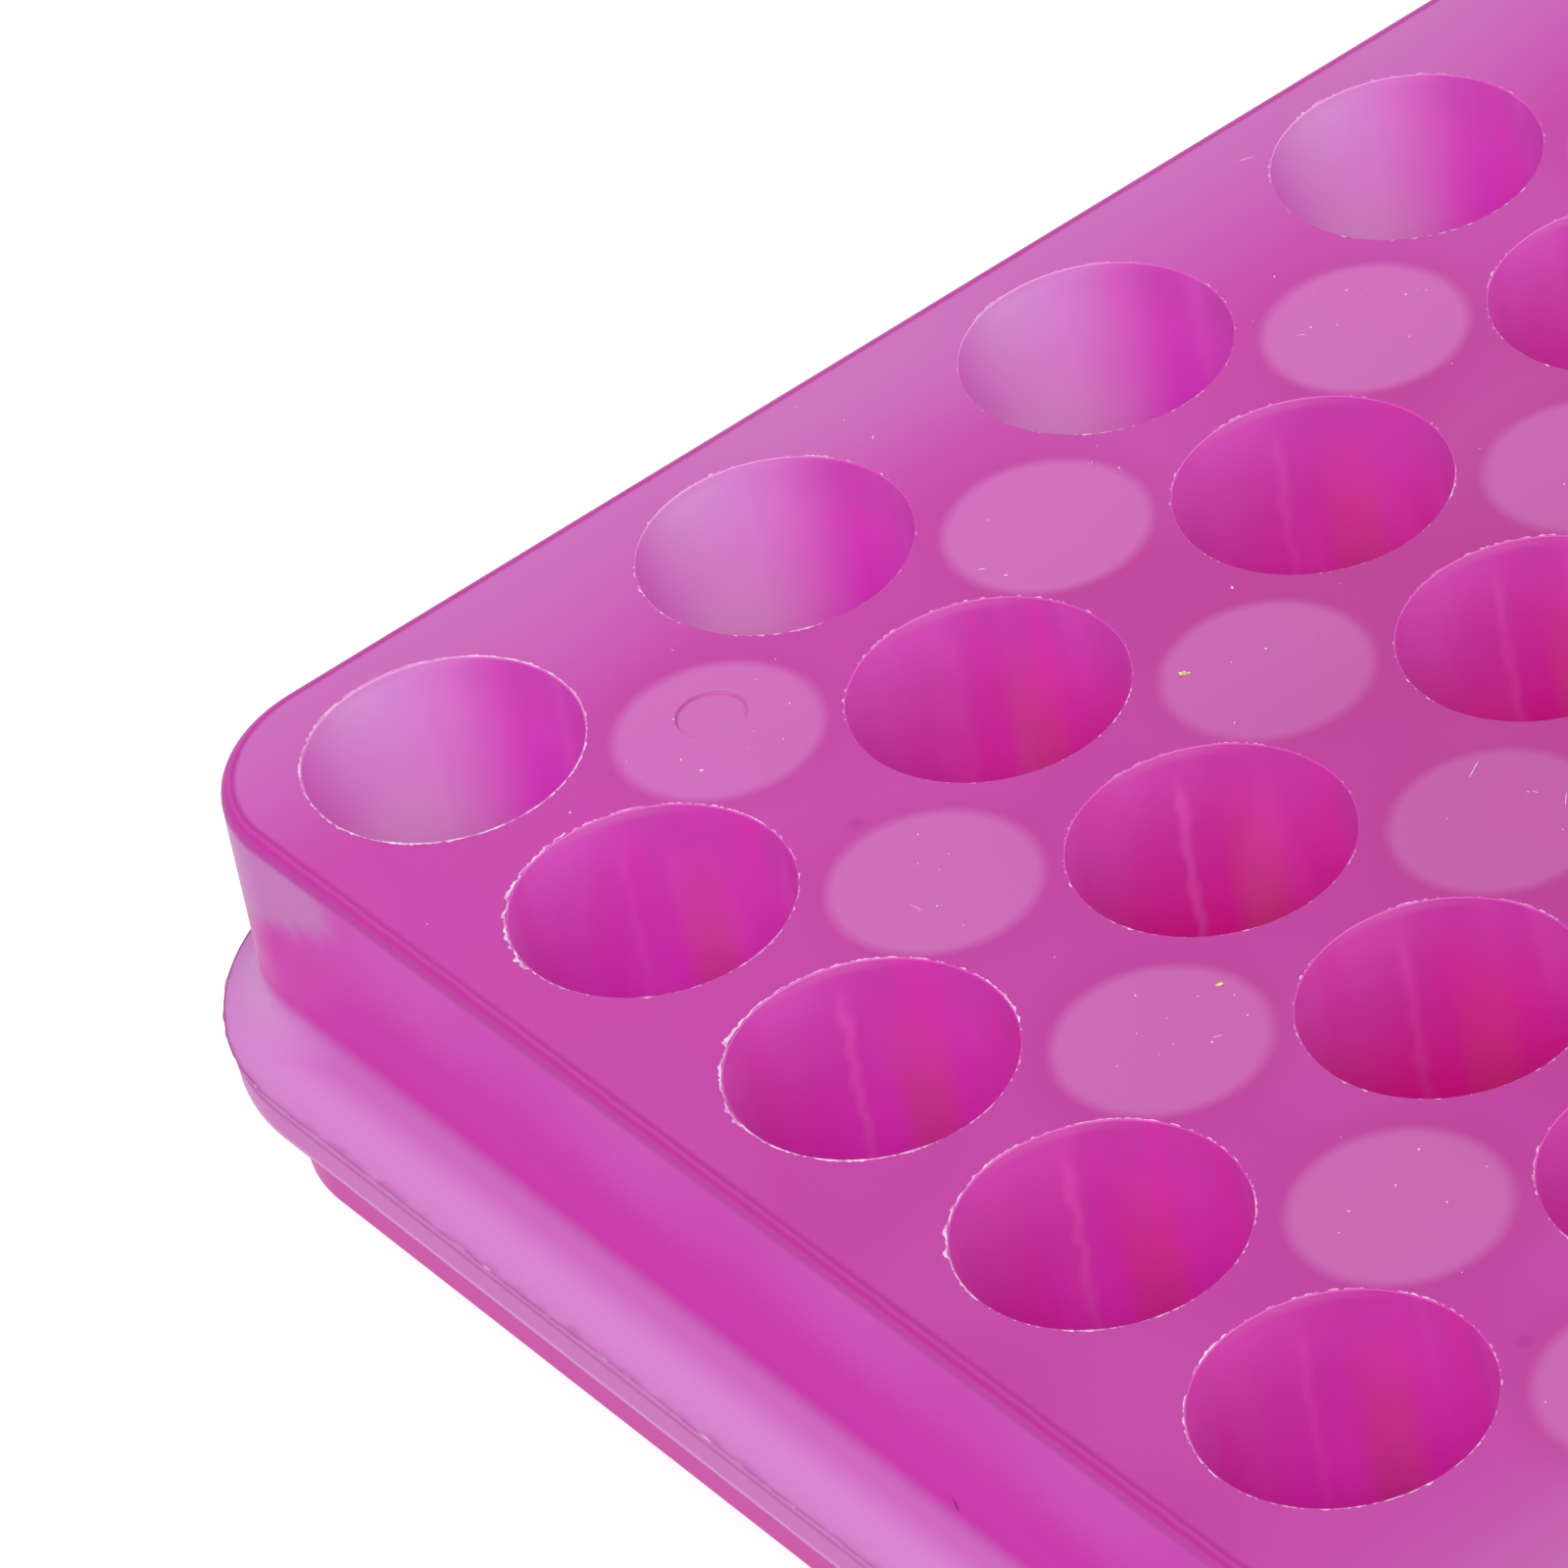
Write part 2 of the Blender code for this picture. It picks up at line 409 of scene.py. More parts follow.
def new_plastic(name, roughness, gloss):
    """One of the block's materials, its shader, and the fields its colours are made from.

    Lengths are in millimetres and angles in degrees. A field that a material doesn't use
    costs nothing.
    """
    material, shader, start = new_material(name, roughness, gloss)
    at = types.SimpleNamespace()
    at.place = start.node("TexCoord", {}, "Object")
    scaled = {0: at.place, 1: (MM, MM, MM)}
    millimetres = start.node("VectorMath", scaled, operation="MULTIPLY")
    at.x, at.y, at.z = (start.node("SeparateXYZ", {0: millimetres}, axis) for axis in range(3))
    at.column = (at.x - FIRST_X * MM) / (COLUMN_PITCH * MM)
    at.row = (FIRST_Y * MM - at.y) / (ROW_PITCH * MM)
    at.wide_column = at.column.nearest(COLUMNS)
    at.wide_row = at.row.nearest(ROWS)
    wide_x = (at.column - at.wide_column) * (COLUMN_PITCH * MM)
    wide_y = (at.wide_row - at.row) * (ROW_PITCH * MM)
    at.wide_angle = wide_y.math("ARCTAN2", wide_x) * math.degrees(1.0)
    narrow_column = (at.column - 0.5).nearest(COLUMNS)
    narrow_row = (at.row - 0.5).nearest(ROWS)
    at.narrow_x = (at.column - 0.5 - narrow_column) * (COLUMN_PITCH * MM)
    at.narrow_y = (narrow_row + 0.5 - at.row) * (ROW_PITCH * MM)
    at.side_x = DECK_LENGTH * MM / 2 - abs(at.x)
    at.side_y = DECK_WIDTH * MM / 2 - abs(at.y)
    corner_x = (WALL_CORNER * MM - at.side_x).math("MAXIMUM", 0.0)
    corner_y = (WALL_CORNER * MM - at.side_y).math("MAXIMUM", 0.0)
    inside = at.side_x.math("MINIMUM", at.side_y).math("MAXIMUM", WALL_CORNER * MM)
    at.from_edge = inside - corner_x.reach(corner_y)
    at.from_back = DECK_WIDTH * MM / 2 - at.y
    at.depth = DECK_LEVEL * MM - at.z
    cloud = {"Vector": at.place, "Scale": CLOUD_SCALE, "Detail": 0.0}
    grain = {"Vector": at.place, "Scale": GRAIN_SCALE, "Detail": 0.0}
    at.cloud = start.node("TexNoise", cloud)
    at.grain = start.node("TexNoise", grain)
    return material, shader, at


def link(field, shader, name):
    """Let a field drive one of a shader's sockets."""
    field.tree.links.new(field.socket, shader.inputs[name])


def add_ripple(at, shader):
    """The slight unevenness that the mould's polish leaves in a face."""
    ripple = at.place.node("Bump", {"Strength": 0.25, "Distance": 0.0003, "Height": at.cloud})
    link(ripple, shader, "Normal")


# The deck's plastic, with light and shade painted into its colour. Painted light makes it
# paler near the long sides, where daylight comes in through the outer wall, and painted shade
# makes it deeper further in. Pale soft discs of painted light show where the narrow wells end
# under the skin.
DECK_PINK = (0.555, 0.045, 0.395, 1.0)
DECK_PALE_AND_LIT = (0.585, 0.150, 0.490, 1.0)
DECK_SHADE_PINK = (0.490, 0.033, 0.300, 1.0)
DISC_LIT_PINK = (0.555, 0.108, 0.418, 1.0)
DISC_LIT_PALE = (0.615, 0.142, 0.490, 1.0)
SPOT_AND_EDGE_SHADE = (0.480, 0.018, 0.310, 1.0)
FAR_DECK_SHADE = (0.90, 0.84, 0.86, 1.0)
# How far the painted discs are set off from the narrow wells, to lie where they look to lie
# under the refracting skin from the camera's corner.
DISC_SHIFT_X = -0.37
DISC_SHIFT_Y = -0.71
DISC_OUTER = 4.6
DISC_FULL = 3.85
GATE_ARC_MIDDLE = 54.0
DARK_SPOTS = ((8.2, -16.3), (6.4, -57.9))
deck_plastic, shader, at = new_plastic("deck_plastic", 0.34, 0.3)
# Painted shade, deeper further from the sides; then painted light near the long sides.
inward = at.side_x.math("MINIMUM", at.side_y * 1.6).smooth(10.0, 45.0)
deck = inward.tint(DECK_PINK, DECK_SHADE_PINK)
edge_light = (at.side_y + (at.cloud - 0.5) * 5.0).smooth(11.0, 0.0)
deck = (edge_light * 0.95).tint(deck, DECK_PALE_AND_LIT)
deck = (at.cloud.ramp(0.45, 0.85) * 0.3).tint(deck, DECK_PALE_AND_LIT)
disc_reach = (at.narrow_x - DISC_SHIFT_X).reach(at.narrow_y - DISC_SHIFT_Y)
# Painted shade: a darker ring round each disc.
deck = (disc_reach.smooth(6.4, 4.4) * 0.3).tint(deck, DECK_SHADE_PINK)
# Painted light through the thin skin over each narrow well, paler near the sides.
lit_disc = at.side_x.math("MINIMUM", at.from_back).smooth(40.0, 12.0).tint(DISC_LIT_PINK, DISC_LIT_PALE)
deck = (disc_reach.smooth(DISC_OUTER, DISC_FULL) * 0.95).tint(deck, lit_disc)
gate_x = at.x - GATE_X * MM
gate_y = at.y - GATE_Y * MM
gate_turn = gate_y.math("ARCTAN2", gate_x) * math.degrees(1.0)
# Painted shade: a dark arc along the deep side of the gate's recess.
gate_arc_shade = gate_x.reach(gate_y).bump_at(GATE_RADIUS * MM - 0.03, 0.13)
gate_arc_shade = gate_arc_shade * abs(gate_turn - GATE_ARC_MIDDLE).smooth(118.0, 96.0)
deck = (gate_arc_shade * 0.55).tint(deck, DECK_SHADE_PINK)
for spot_x, spot_y in DARK_SPOTS:
    spot = (at.x - FIRST_X * MM - spot_x).reach(at.y - FIRST_Y * MM - spot_y)
    deck = (spot.smooth(0.5, 0.2) * 0.5).tint(deck, SPOT_AND_EDGE_SHADE)
# Painted shade: a deeper band along the deck's rounded edge, where it mirrors less of the
# bright room.
deck = at.from_edge.smooth(0.80, 0.55).tint(deck, SPOT_AND_EDGE_SHADE)
# A painted glint along the deck's rounded edge.
edge_glint = (at.from_edge + (at.grain - 0.5) * 0.1).bump_at(0.42, 0.14)
deck = (edge_glint * 0.22).tint(deck, DECK_PALE_AND_LIT)
deck = at.from_back.smooth(6.0, 58.0).shade(deck, FAR_DECK_SHADE)
link(deck, shader, "Base Color")
link(at.cloud.ramp(0.3, 0.7) * 0.12 + 0.29, shader, "Roughness")
add_ripple(at, shader)

# The outside's plastic, with light painted into its colour. Painted light makes it paler
# midway between wells, where less plastic stands behind the wall, and lighter near the top;
# the cove is lightest, in painted light; the flange's band is greyish. The corners hold a
# painted reflection of the window.
WALL_LIGHT = (0.580, 0.022, 0.430, 1.0)
WALL_DEEP = (0.580, 0.003, 0.380, 1.0)
WALL_LIT_PALE = (0.590, 0.040, 0.455, 1.0)
WALL_FOOT = (0.600, 0.023, 0.400, 1.0)
EDGE_SHADE = (0.455, 0.045, 0.320, 1.0)
WINDOW_REFLECTION_LILAC = (0.500, 0.220, 0.480, 1.0)
COVE_LIT_PINK = (0.560, 0.125, 0.475, 1.0)
COVE_LIT_PALE = (0.620, 0.265, 0.600, 1.0)
SEAM_SHADE = (0.360, 0.035, 0.260, 1.0)
BAND_PINK = (0.600, 0.150, 0.500, 1.0)
BAND_LIGHT = (0.700, 0.300, 0.620, 1.0)
TIER_PINK = (0.660, 0.065, 0.420, 1.0)
FLECK = (0.05, 0.004, 0.03, 1.0)
FLECK_Y = -41.7
FLECK_DEPTH = 8.0
RIB_SHIFT = 0.66
CORNER_REACH = 8.0
COVE_MM = COVE_TOP * MM
PARTING_MM = PARTING_LEVEL * MM
TIER_MM = TIER_TOP * MM
side_plastic, shader, at = new_plastic("side_plastic", 0.36, 0.12)
# Painted light between the wells, through the thinner plastic there.
end_ribs = ((at.row - RIB_SHIFT) * (2 * math.pi)).math("COSINE") * 0.5 + 0.5
long_ribs = ((at.column - RIB_SHIFT) * (2 * math.pi)).math("COSINE") * 0.5 + 0.5
on_end = at.side_x.smooth(3.0, 0.5)
ribs = end_ribs * on_end + long_ribs * (1 - on_end)
# Painted light, lighter towards the top of the wall.
side = (at.depth + (at.cloud - 0.5) * 3.0).smooth(6.0, 1.2).tint(WALL_DEEP, WALL_LIGHT)
side = at.depth.smooth(5.5, 8.0).tint(side, WALL_FOOT)
side = (ribs * at.depth.smooth(6.0, 1.2)).tint(side, WALL_LIT_PALE)
corner_side = CORNER_REACH - at.side_x.math("MAXIMUM", at.side_y)
# A painted reflection of the window on the corners' upper walls.
jag = (at.grain - 0.5) * 0.9
window_reflection = (corner_side * 0.45 + 3.7 + jag - at.depth).smooth(-0.9, 0.7)
window_reflection = window_reflection * corner_side.smooth(-4.6, -2.2) * at.depth.smooth(0.4, 0.9)
side = (window_reflection * 0.62).tint(side, WINDOW_REFLECTION_LILAC)
side = at.depth.smooth(0.72, 0.42).tint(side, EDGE_SHADE)
# Painted light in the cove, which faces up to the lamps, brightest at the corners.
side = at.z.smooth(COVE_MM + 0.5, COVE_MM - 0.9).tint(side, COVE_LIT_PINK)
lip = at.z.smooth(COVE_MM - 1.2, PARTING_MM + 0.1)
corner_cove_light = corner_side.smooth(-3.0, 3.0) * at.z.smooth(COVE_MM + 0.2, COVE_MM - 1.2)
side = (lip * 0.8).math("MAXIMUM", corner_cove_light * 0.75).tint(side, COVE_LIT_PALE)
seam_line = (at.z + (at.grain - 0.5) * 0.06).bump_at(PARTING_MM + 0.03, 0.08)
side = (seam_line * 0.55).tint(side, SEAM_SHADE)
band_light = (at.z + (at.grain - 0.5) * 0.05).bump_at(TIER_MM + 0.25, 0.16)
band = band_light.tint(BAND_PINK, BAND_LIGHT)
side = at.z.smooth(PARTING_MM + 0.01, PARTING_MM - 0.05).tint(side, band)
side = at.z.smooth(TIER_MM + 0.02, TIER_MM - 0.05).tint(side, TIER_PINK)
fleck = at.y - (FIRST_Y * MM + FLECK_Y) + (at.depth - FLECK_DEPTH) * 0.3
fleck = fleck.bump_at(0.0, 0.16) * at.depth.bump_at(FLECK_DEPTH, 0.45)
fleck = fleck * (at.x + DECK_LENGTH * MM / 2).smooth(3.0, 2.0)
side = (fleck * 0.9).tint(side, FLECK)
link(side, shader, "Base Color")
add_ripple(at, shader)

# The wells' plastic: it looks deeper and redder the further down it is, where its colour is
# painted brighter, painted light for the glow through the plastic; paler where the outer wall
# is thin, painted light that comes through it; and olive, a painted shade from the dark narrow
# well behind, where only a thin web parts a wide well from a narrow one.
RIM_PINK = (0.675, 0.074, 0.525, 1.0)
RIM_FAR_LIT = (0.97, 0.165, 0.82, 1.0)
DEPTH_GLOW_PINK = (1.0, 0.075, 0.86, 1.0)
INNER_DEPTH = (0.97, 0.026, 0.57, 1.0)
PALE_RIM = (0.85, 0.40, 0.90, 1.0)
PALE_FAR = (0.98, 0.56, 1.0, 1.0)
PALE_MIDDLE = (1.0, 0.54, 1.0, 1.0)
PALE_DEPTH = (1.0, 0.78, 1.0, 1.0)
OLIVE_WEB_SHADE = (0.82, 0.125, 0.36, 1.0)
STREAK_AND_REFLECTION_PINK = (0.99, 0.19, 0.80, 1.0)
FAR_WELL_SHADE = (0.96, 0.72, 0.86, 1.0)
RIM_HIGHLIGHT = (0.85, 0.32, 0.70, 1.0)
FLOOR_DEPTH = 9.5
THIN_WALL = 2.3
THICK_WALL = 6.4
REFLECTION_ANGLE = 69.0
well_plastic, shader, at = new_plastic("well_plastic", 0.36, 0.3)
# Painted light, brighter further down, for the glow through the plastic.
downward = at.depth.ramp(1.0, FLOOR_DEPTH).math("POWER", 1.1)
well = downward.tint(RIM_PINK, DEPTH_GLOW_PINK)
# Painted shade: wells further from the sides get less of the painted glow.
deep_inside = at.side_x.math("MINIMUM", at.side_y).smooth(9.0, 24.0)
well = deep_inside.tint(well, downward.tint(RIM_PINK, INNER_DEPTH))
# Painted light on each well's far wall, towards +Y, strongest near the rim.
far_wall_light = at.wide_angle.smooth(45.0, 105.0) * at.depth.ramp(FLOOR_DEPTH, 1.0)
well = far_wall_light.tint(well, RIM_FAR_LIT)
# Painted shade: olive where the dark narrow well shows through the thin web.
web = at.narrow_x.reach(at.narrow_y).smooth(5.7, 5.25) * at.depth.smooth(1.0, 8.0)
well = (web * 0.6).tint(well, OLIVE_WEB_SHADE)
stretch = {0: at.place, 1: (1.0, 1.0, 0.22)}
stretched = at.place.node("VectorMath", stretch, operation="MULTIPLY")
drawn = at.place.node("TexNoise", {"Vector": stretched, "Scale": 520.0, "Detail": 0.0})
well = (drawn.smooth(0.52, 0.75) * 0.16).tint(well, STREAK_AND_REFLECTION_PINK)
well = (drawn.smooth(0.46, 0.25) * 0.22).tint(well, INNER_DEPTH)
which = at.place.node("CombineXYZ", {0: at.wide_column, 1: at.wide_row, 2: 0.5})
luck = at.place.node("TexWhiteNoise", {"Vector": which}, noise_dimensions="3D")
# A painted reflection of a light: a faint lighter upright streak at the same angle in every
# well.
reflection_streak = (at.wide_angle + (at.grain - 0.5) * 5.0 + luck * 3.0).bump_at(REFLECTION_ANGLE, 4.0)
reflection_streak = reflection_streak * at.depth.smooth(0.9, 2.6) * at.depth.smooth(15.0, 7.0)
reflection_streak = reflection_streak * (luck * 0.55 + 0.12)
well = reflection_streak.tint(well, STREAK_AND_REFLECTION_PINK)
# Painted light that comes in through the thin outer wall.
pale = at.wide_angle.smooth(60.0, 105.0).tint(PALE_RIM, PALE_FAR)
pale = at.depth.ramp(1.0, 5.0).tint(pale, PALE_MIDDLE)
pale = at.depth.ramp(5.0, FLOOR_DEPTH).tint(pale, PALE_DEPTH)
thin_y = at.side_y.ramp(THICK_WALL, THIN_WALL).math("POWER", 2.15)
thin_x = at.side_x.ramp(THICK_WALL, THIN_WALL).math("POWER", 2.15) * 0.45
well = thin_y.math("MAXIMUM", thin_x).tint(well, pale)
# A painted highlight just under each rim.
rim_highlight = at.depth.smooth(0.6, 0.2) * at.wide_angle.bump_at(75.0, 50.0)
well = (rim_highlight * 0.4).tint(well, RIM_HIGHLIGHT)
well = at.from_back.smooth(4.0, 52.0).shade(well, FAR_WELL_SHADE)
link(well, shader, "Base Color")

# Each face takes the plastic of the region that it lies in.
PLASTICS = (deck_plastic, side_plastic, well_plastic)
DECK, SIDE, WELL = range(3)
DECK_TO_SIDE = 0.00022
DECK_TO_WELL = 0.00006
block.data.materials.clear()
for plastic in PLASTICS:
    block.data.materials.append(plastic)
wide_places = list(well_centres(0.0, 0.0))
narrow_places = list(well_centres(0.5, 0.5))
half_core = Vector((DECK_LENGTH / 2 - WALL_CORNER, DECK_WIDTH / 2 - WALL_CORNER))
for face in block.data.polygons:
    spot = face.center
    beyond_x = max(0.0, abs(spot.x) - half_core.x)
    beyond_y = max(0.0, abs(spot.y) - half_core.y)
    to_wide = min(math.hypot(spot.x - x, spot.y - y) for x, y in wide_places)
    to_narrow = min(math.hypot(spot.x - x, spot.y - y) for x, y in narrow_places)
    if WALL_CORNER - math.hypot(beyond_x, beyond_y) < DECK_TO_SIDE:
        face.material_index = SIDE
    elif to_wide < WIDE_RADIUS + DECK_TO_WELL and spot.z < DECK_LEVEL - HAIR:
        face.material_index = WELL
    elif to_narrow < NARROW_RADIUS + DECK_TO_WELL and spot.z < DECK_LEVEL - SKIN / 2:
        face.material_index = WELL
    else:
        face.material_index = SIDE if spot.z < DECK_LEVEL / 2 else DECK
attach(block, "root")
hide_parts("rack_body")


# The flash on the rims of the wide wells.
# Where the mould closed on the core pins, a little plastic crept out and set as a thin,
# ragged, whitish skin. It is heaviest on the wells nearest the gate's corner.
FLASH_STEPS = 300
FLASH_HEIGHT = 0.00007
FLASH_FOOT = 0.00009
FLASH_NEAR_GATE = (0.75, 0.45, 0.45, 0.3, 0.3)
FLASH_ELSEWHERE = 0.08
BURR_ANGLE = math.radians(132)
BURR_SPAN = 0.72
BURR_WIDTH = 0.0003
flash = bmesh.new()
for number, (x, y) in enumerate(well_centres(0.0, 0.0)):
    column_number, row_number = divmod(number, ROWS)
    heavy = FLASH_ELSEWHERE if column_number else FLASH_NEAR_GATE[row_number]
    burr = column_number == 0 and row_number in (1, 2, 3)
    # Circles far apart are bridged without a twist, and only then moved into place.
    rings = []
    for level in (0.0, 0.001, 0.002):
        ring = bmesh.ops.create_circle(
            flash,
            cap_ends=False,
            segments=FLASH_STEPS,
            radius=1.0,
            matrix=Matrix.Translation((0.0, 0.0, level)),
        )
        rings.append(ring["verts"])
    for lower, upper in zip(rings, rings[1:]):
        loops = edges_of(lower[:] + upper[:])
        loops = [edge for edge in loops if edge.is_wire or edge.is_boundary]
        level_loops = [edge for edge in loops if edge.verts[0].co.z == edge.verts[1].co.z]
        bmesh.ops.bridge_loops(flash, edges=level_loops)
    for role, ring in zip(("wall", "crest", "deck"), rings):
        for vert in ring:
            angle = math.atan2(vert.co.y, vert.co.x)
            out = Vector((math.cos(angle), math.sin(angle), 0.0))
            presence = noise.noise(out * 2.2 + Vector((number * 7.3, 0.0, 3.0)))
            lump = noise.noise(out * 12.0 + Vector((0.0, number * 4.1, 9.0)))
            rag = noise.noise(out * 24.0 + Vector((0.0, number * 5.1, 0.0)))
            crumb = noise.noise(out * 48.0 + Vector((0.0, 0.0, number * 3.7)))
            swell = max(0.0, heavy + 0.8 * presence + 0.8 * rag + 0.3 * crumb)
            width = 0.00002 + 0.00006 * swell * (1.0 + 0.8 * crumb)
            if burr and math.cos(angle - BURR_ANGLE) > BURR_SPAN:
                width += BURR_WIDTH * max(0.0, 0.25 + 1.5 * lump + 0.5 * rag) / row_number
                swell += 0.5
            height = min(FLASH_HEIGHT, 0.00007 * swell * (0.8 + 0.6 * crumb) - 0.000015)
            reach = {
                "wall": WIDE_RADIUS + HAIR,
                "crest": WIDE_RADIUS + RIM_ROUNDING * 0.5 + width * 0.5,
                "deck": WIDE_RADIUS + RIM_ROUNDING + width,
            }[role]
            lift = {"wall": -FLASH_FOOT, "crest": height, "deck": -HAIR}[role]
            vert.co = out * reach + Vector((x, y, DECK_LEVEL + lift))
flash = mesh_object("rim_flash", flash)
flash.data.shade_smooth()


def mottled_material(name, roughness, pattern, span, below, above):
    """A material of two colours that a noise mixes, from below to above over its span."""
    material, shader, start = new_material(name, roughness)
    scale, detail = pattern
    place = start.node("TexCoord", {}, "Object")
    cloud = place.node("TexNoise", {"Vector": place, "Scale": scale, "Detail": detail})
    link(cloud.smooth(*span).tint(below, above), shader, "Base Color")
    return material


FLASH_PINK = (0.70, 0.26, 0.56, 1.0)
FLASH_WHITE = (0.90, 0.72, 0.86, 1.0)
thin_flash = mottled_material(
    "thin_flash", 0.3, (1500.0, 2.0), (0.35, 0.7), FLASH_PINK, FLASH_WHITE
)
flash.data.materials.append(thin_flash)
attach(flash, "root")


# The flash on the parting line.
# A ragged whisker of plastic along the flange's edge, where the two halves of the mould
# meet. It comes and goes along the edge.
SEAM_CUTS_LONG = 420
SEAM_CUTS_SHORT = 300
SEAM_CORNER_STEPS = 60
SHORTEST_SIDE = 0.01
LONGEST_SHORT_SIDE = 0.08
SEAM_RINGS = (("under", -0.00012, -0.00007), ("crest", 0.0, 0.0), ("over", -0.00003, 0.00008))
seam = bmesh.new()
rings = []
for role, shift_out, shift_up in SEAM_RINGS:
    outset = OVERHANG + shift_out
    level = PARTING_LEVEL + shift_up
    outline = add_outline(seam, outset, level, FLANGE_CORNER + shift_out, SEAM_CORNER_STEPS)
    sides = [edge for edge in outline.edges if edge.calc_length() > SHORTEST_SIDE]
    long_sides = [edge for edge in sides if edge.calc_length() > LONGEST_SHORT_SIDE]
    short_sides = [edge for edge in sides if edge.calc_length() <= LONGEST_SHORT_SIDE]
    bmesh.ops.delete(seam, geom=[outline], context="FACES_ONLY")
    bmesh.ops.subdivide_edges(seam, edges=long_sides, cuts=SEAM_CUTS_LONG)
    bmesh.ops.subdivide_edges(seam, edges=short_sides, cuts=SEAM_CUTS_SHORT)
    ring = [vert for vert in seam.verts if abs(vert.co.z - level) < HAIR]
    if role == "crest":
        half_x = DECK_LENGTH / 2 + outset - FLANGE_CORNER
        half_y = DECK_WIDTH / 2 + outset - FLANGE_CORNER
        for vert in ring:
            core_x = max(-half_x, min(half_x, vert.co.x))
            core_y = max(-half_y, min(half_y, vert.co.y))
            out = (vert.co - Vector((core_x, core_y, level))).normalized()
            presence = noise.noise(vert.co * 90.0)
            rag = noise.noise(vert.co * 1400.0)
            crumb = noise.noise(vert.co * 4000.0)
            lift = max(-0.00004, 0.00006 * presence + 0.00007 * rag + 0.00003 * crumb)
            vert.co += out * min(SEAM_ROOM, lift)
            vert.co.z += 0.00004 * rag
    rings.append(edges_of(ring))
bmesh.ops.bridge_loops(seam, edges=rings[0] + rings[1])
bmesh.ops.bridge_loops(seam, edges=rings[1] + rings[2])
seam = mesh_object("parting_line_flash", seam)
seam.data.shade_smooth()
SEAM_PINK = (0.52, 0.10, 0.40, 1.0)
SEAM_WHITE = (0.85, 0.60, 0.80, 1.0)
seam_flash = mottled_material(
    "seam_flash", 0.35, (700.0, 2.0), (0.56, 0.72), SEAM_PINK, SEAM_WHITE
)
seam.data.materials.append(seam_flash)
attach(seam, "root")


# Dust, crumbs and scuffs.
# Specks of trimmed flash and lint that cling to the deck, and short scratches on it.
SPECKS = 230
SCRATCHES = 46
SHARE_ON_DISCS = 0.45
CLEAR_OF_EDGE = 0.0015
CLEAR_OF_WELL = 0.0008
CHIPS = ((11.8, -34.3, 0.4), (22.7, -19.1, 2.2))
chance = random.Random(7)
dust = bmesh.new()
discs = list(well_centres(0.5, 0.5))
wells = list(well_centres(0.0, 0.0))
placed = 0
while placed < SPECKS + SCRATCHES:
    scratch = placed >= SPECKS
    if chance.random() < SHARE_ON_DISCS:
        disc_x, disc_y = chance.choice(discs)
        spot = Vector((disc_x + chance.gauss(0.0, 0.0022), disc_y + chance.gauss(0.0, 0.0020)))
    else:
        spot_x = chance.uniform(-0.5, 0.5) * DECK_LENGTH
        spot_y = chance.uniform(-0.5, 0.5) * DECK_WIDTH
        spot = Vector((spot_x, spot_y))
    if abs(spot.x) > DECK_LENGTH / 2 - CLEAR_OF_EDGE:
        continue
    if abs(spot.y) > DECK_WIDTH / 2 - CLEAR_OF_EDGE:
        continue
    to_well = min(math.hypot(spot.x - x, spot.y - y) for x, y in wells)
    if to_well < WIDE_RADIUS + CLEAR_OF_WELL:
        continue
    size = chance.uniform(0.000015, 0.00004) * (1.6 if chance.random() < 0.12 else 1.0)
    length = chance.uniform(6.0, 16.0) if scratch else chance.uniform(1.0, 2.2)
    across = 0.45 if scratch else 1.0
    flat = min(0.8, 0.00003 / size)
    turn = Matrix.Rotation(chance.uniform(0.0, math.pi), 4, "Z")
    shape = Matrix.Diagonal((size * length, size * across, size * flat, 1.0))
    rise = 0.0 if scratch else size * flat * 0.6
    moved = Matrix.Translation((spot.x, spot.y, DECK_LEVEL + rise))
    bmesh.ops.create_icosphere(dust, subdivisions=1, radius=1.0, matrix=moved @ turn @ shape)
    placed += 1
for chip_x, chip_y, turned in CHIPS:
    centre = Vector((FIRST_X + chip_x / MM, FIRST_Y + chip_y / MM, DECK_LEVEL))
    for piece in range(5):
        offset = Vector((chance.gauss(0.0, 0.00013), chance.gauss(0.0, 0.00007), 0.00002))
        turn = Matrix.Rotation(turned + chance.uniform(-0.6, 0.6), 4, "Z")
        shape = Matrix.Diagonal((chance.uniform(0.00008, 0.00017), 0.00005, 0.00003, 1.0))
        placing = Matrix.Translation(centre + offset) @ turn @ shape
        chip = bmesh.ops.create_icosphere(dust, subdivisions=2, radius=1.0, matrix=placing)
        for face in faces_of(chip["verts"]):
            face.material_index = 1
dust = mesh_object("dust_and_scuffs", dust)
LINT_WHITE = (0.95, 0.80, 0.92, 1.0)
LINT_PINK = (0.86, 0.42, 0.72, 1.0)
GRIT_BROWN = (0.45, 0.22, 0.10, 1.0)
GRIT_YELLOW = (0.90, 0.78, 0.45, 1.0)
pale_dust = mottled_material(
    "pale_dust", 0.6, (260.0, 1.0), (0.45, 0.6), LINT_WHITE, LINT_PINK
)
yellow_grit = mottled_material(
    "yellow_grit", 0.5, (6000.0, 1.0), (0.4, 0.6), GRIT_BROWN, GRIT_YELLOW
)
dust.data.materials.append(pale_dust)
dust.data.materials.append(yellow_grit)
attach(dust, "root")


# The floor.
# A plain white sheet, wide enough to fill every view. Its glow shows only directly, in
# gloss or through glass, so it isn't picked as a lamp.
FLOOR_REACH = 6.0
FLOOR_GREY = (0.6, 0.6, 0.6, 1.0)
FLOOR_GLOW = 0.65
WHITE = (1.0, 1.0, 1.0, 1.0)


def seen_directly(start):
    """1 where the camera sees a thing itself, mirrored or through glass, else 0."""
    camera = start.node("LightPath", {}, "Is Camera Ray")
    mirror = start.node("LightPath", {}, "Is Glossy Ray")
    glass = start.node("LightPath", {}, "Is Transmission Ray")
    return camera.math("MAXIMUM", mirror).math("MAXIMUM", glass)


